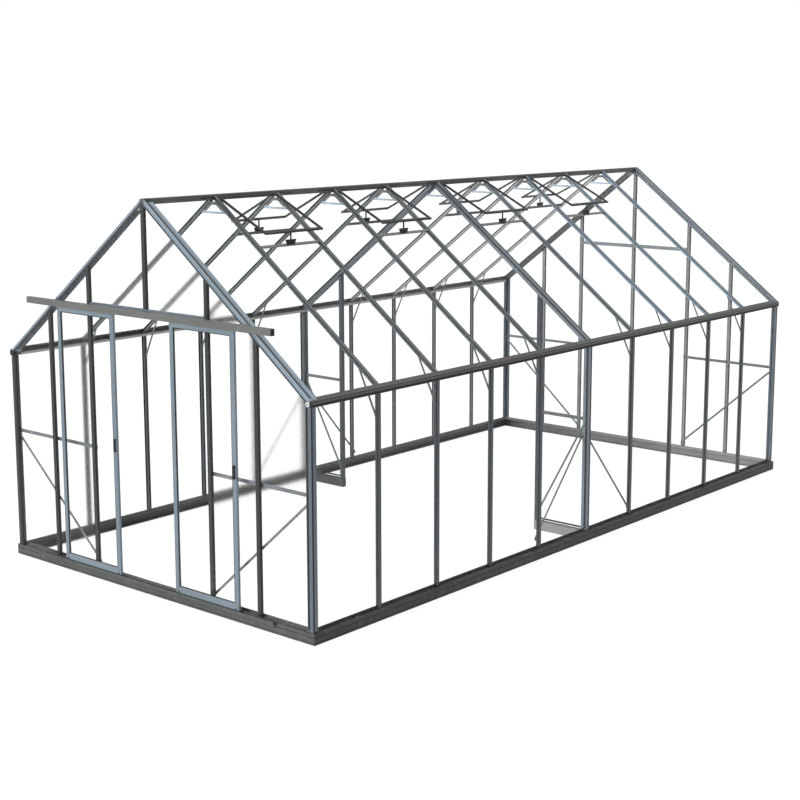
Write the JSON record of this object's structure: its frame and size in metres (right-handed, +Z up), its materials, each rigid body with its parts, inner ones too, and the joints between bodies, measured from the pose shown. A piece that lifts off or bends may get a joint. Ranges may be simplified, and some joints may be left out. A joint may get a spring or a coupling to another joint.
{
  "type": "polycarbonate greenhouse",
  "caption": "Walk-in gable greenhouse with a metal frame on a low base, clear panels, sliding double doors in one gable and open ridge vents.",
  "frame": {"origin": "on the ground, at the centre of the footprint between the door handles' front and the rear base face", "axes": "+X to the right seen from the door gable, +Y from the door gable to the rear gable, +Z up"},
  "size_m": [3.196, 6.3636, 2.8195],
  "materials": {
    "base_metal": "satin anthracite powder coat on a rolled base rail",
    "frame_metal": "satin anthracite powder coat on extruded bars",
    "beam_metal": "satin dark anthracite powder coat",
    "track_metal": "satin warm grey mill finish",
    "brace_metal": "satin mid grey coat on flat strip",
    "vent_metal": "satin near-black powder coat",
    "door_metal": "satin steel-blue grey powder coat",
    "black_plastic": "fine-grained moulded plastic",
    "clear_panel": "clear polycarbonate sheet"
  },
  "bodies": {
    "house": {"base_front": "base_metal", "base_rear": "base_metal", "base_left": "base_metal", "base_right": "base_metal", "door_guide": "base_metal", "partition_bases": "base_metal", "corner_posts": "frame_metal", "left_wall_bars": "frame_metal", "right_wall_bars": "frame_metal", "mid_posts": "frame_metal", "left_roof_bars": "frame_metal", "right_roof_bars": "frame_metal", "mid_rafters": "frame_metal", "front_gable_rafters": "frame_metal", "rear_gable_rafters": "frame_metal", "front_gable_studs": "frame_metal", "rear_gable_studs": "frame_metal", "door_head": "frame_metal", "rear_gable_rail": "frame_metal", "partition_posts": "frame_metal", "left_eave_beam": "beam_metal", "right_eave_beam": "beam_metal", "ridge_beam": "beam_metal", "door_track": "track_metal", "front_gable_braces": "brace_metal", "rear_gable_braces": "brace_metal", "wall_braces": "brace_metal", "knee_braces": "brace_metal", "ridge_ties": "brace_metal", "partition_braces": "brace_metal", "left_vent_frames": "vent_metal", "right_vent_frames": "vent_metal", "vent_sills": "vent_metal", "track_end_caps": "black_plastic", "vent_stays": "black_plastic", "wall_panes": "clear_panel", "roof_panes": "clear_panel", "front_gable_panes": "clear_panel", "rear_gable_panes": "clear_panel", "vent_panes": "clear_panel"},
    "left_door": {"left_door_frame": "door_metal", "left_door_handle": "black_plastic", "left_door_pane": "clear_panel"},
    "right_door": {"right_door_frame": "door_metal", "right_door_handle": "black_plastic", "right_door_pane": "clear_panel"}
  },
  "joints": [
    {"name": "left_door_slide", "type": "slide", "parent": "house", "child": "left_door", "axis": [1, 0, 0], "range_m": [-0.305, 0.295]},
    {"name": "right_door_slide", "type": "slide", "parent": "house", "child": "right_door", "axis": [-1, 0, 0], "range_m": [-0.305, 0.295]}
  ]
}
